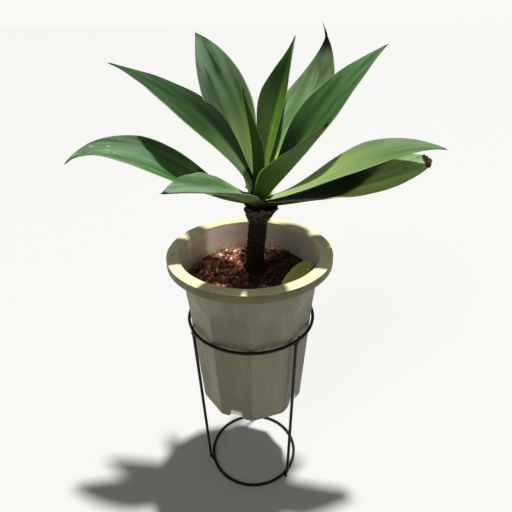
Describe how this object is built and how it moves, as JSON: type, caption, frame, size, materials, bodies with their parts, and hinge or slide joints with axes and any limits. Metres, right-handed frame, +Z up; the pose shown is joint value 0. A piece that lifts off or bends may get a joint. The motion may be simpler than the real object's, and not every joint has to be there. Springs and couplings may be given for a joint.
{
  "type": "potted agave plant",
  "caption": "Agave with broad pointed leaves on a short bare trunk, in a faceted plastic pot held by a round wire stand.",
  "frame": {"origin": "on the floor, under the middle of the whole plant's bounding box", "axes": "+Z up along the pot and trunk, -Y towards the front of the picture, +X to its right"},
  "size_m": [0.525, 0.4108, 0.7413],
  "materials": {
    "enamelled_wire": "satin",
    "pot_plastic": "satin",
    "potting_soil": "matte",
    "dry_leaf": "matte",
    "bark": "matte",
    "dead_leaf_bases": "matte",
    "leaf": "satin"
  },
  "bodies": {
    "root": {"stand_hoop": "enamelled_wire", "stand_foot_ring": "enamelled_wire", "stand_leg_left": "enamelled_wire", "stand_leg_right": "enamelled_wire", "stand_leg_back": "enamelled_wire", "pot": "pot_plastic", "soil": "potting_soil", "fallen_leaf_piece": "dry_leaf", "trunk": "bark", "collar": "dead_leaf_bases", "leaf_spear": "leaf", "leaf_tall_middle": "leaf", "leaf_upper_left": "leaf", "leaf_tall_right": "leaf", "leaf_tall_left": "leaf", "leaf_upper_right": "leaf", "leaf_front_right": "leaf", "leaf_front_left": "leaf", "leaf_right": "leaf", "leaf_far_left": "leaf", "leaf_cut_right": "leaf"}
  },
  "joints": []
}
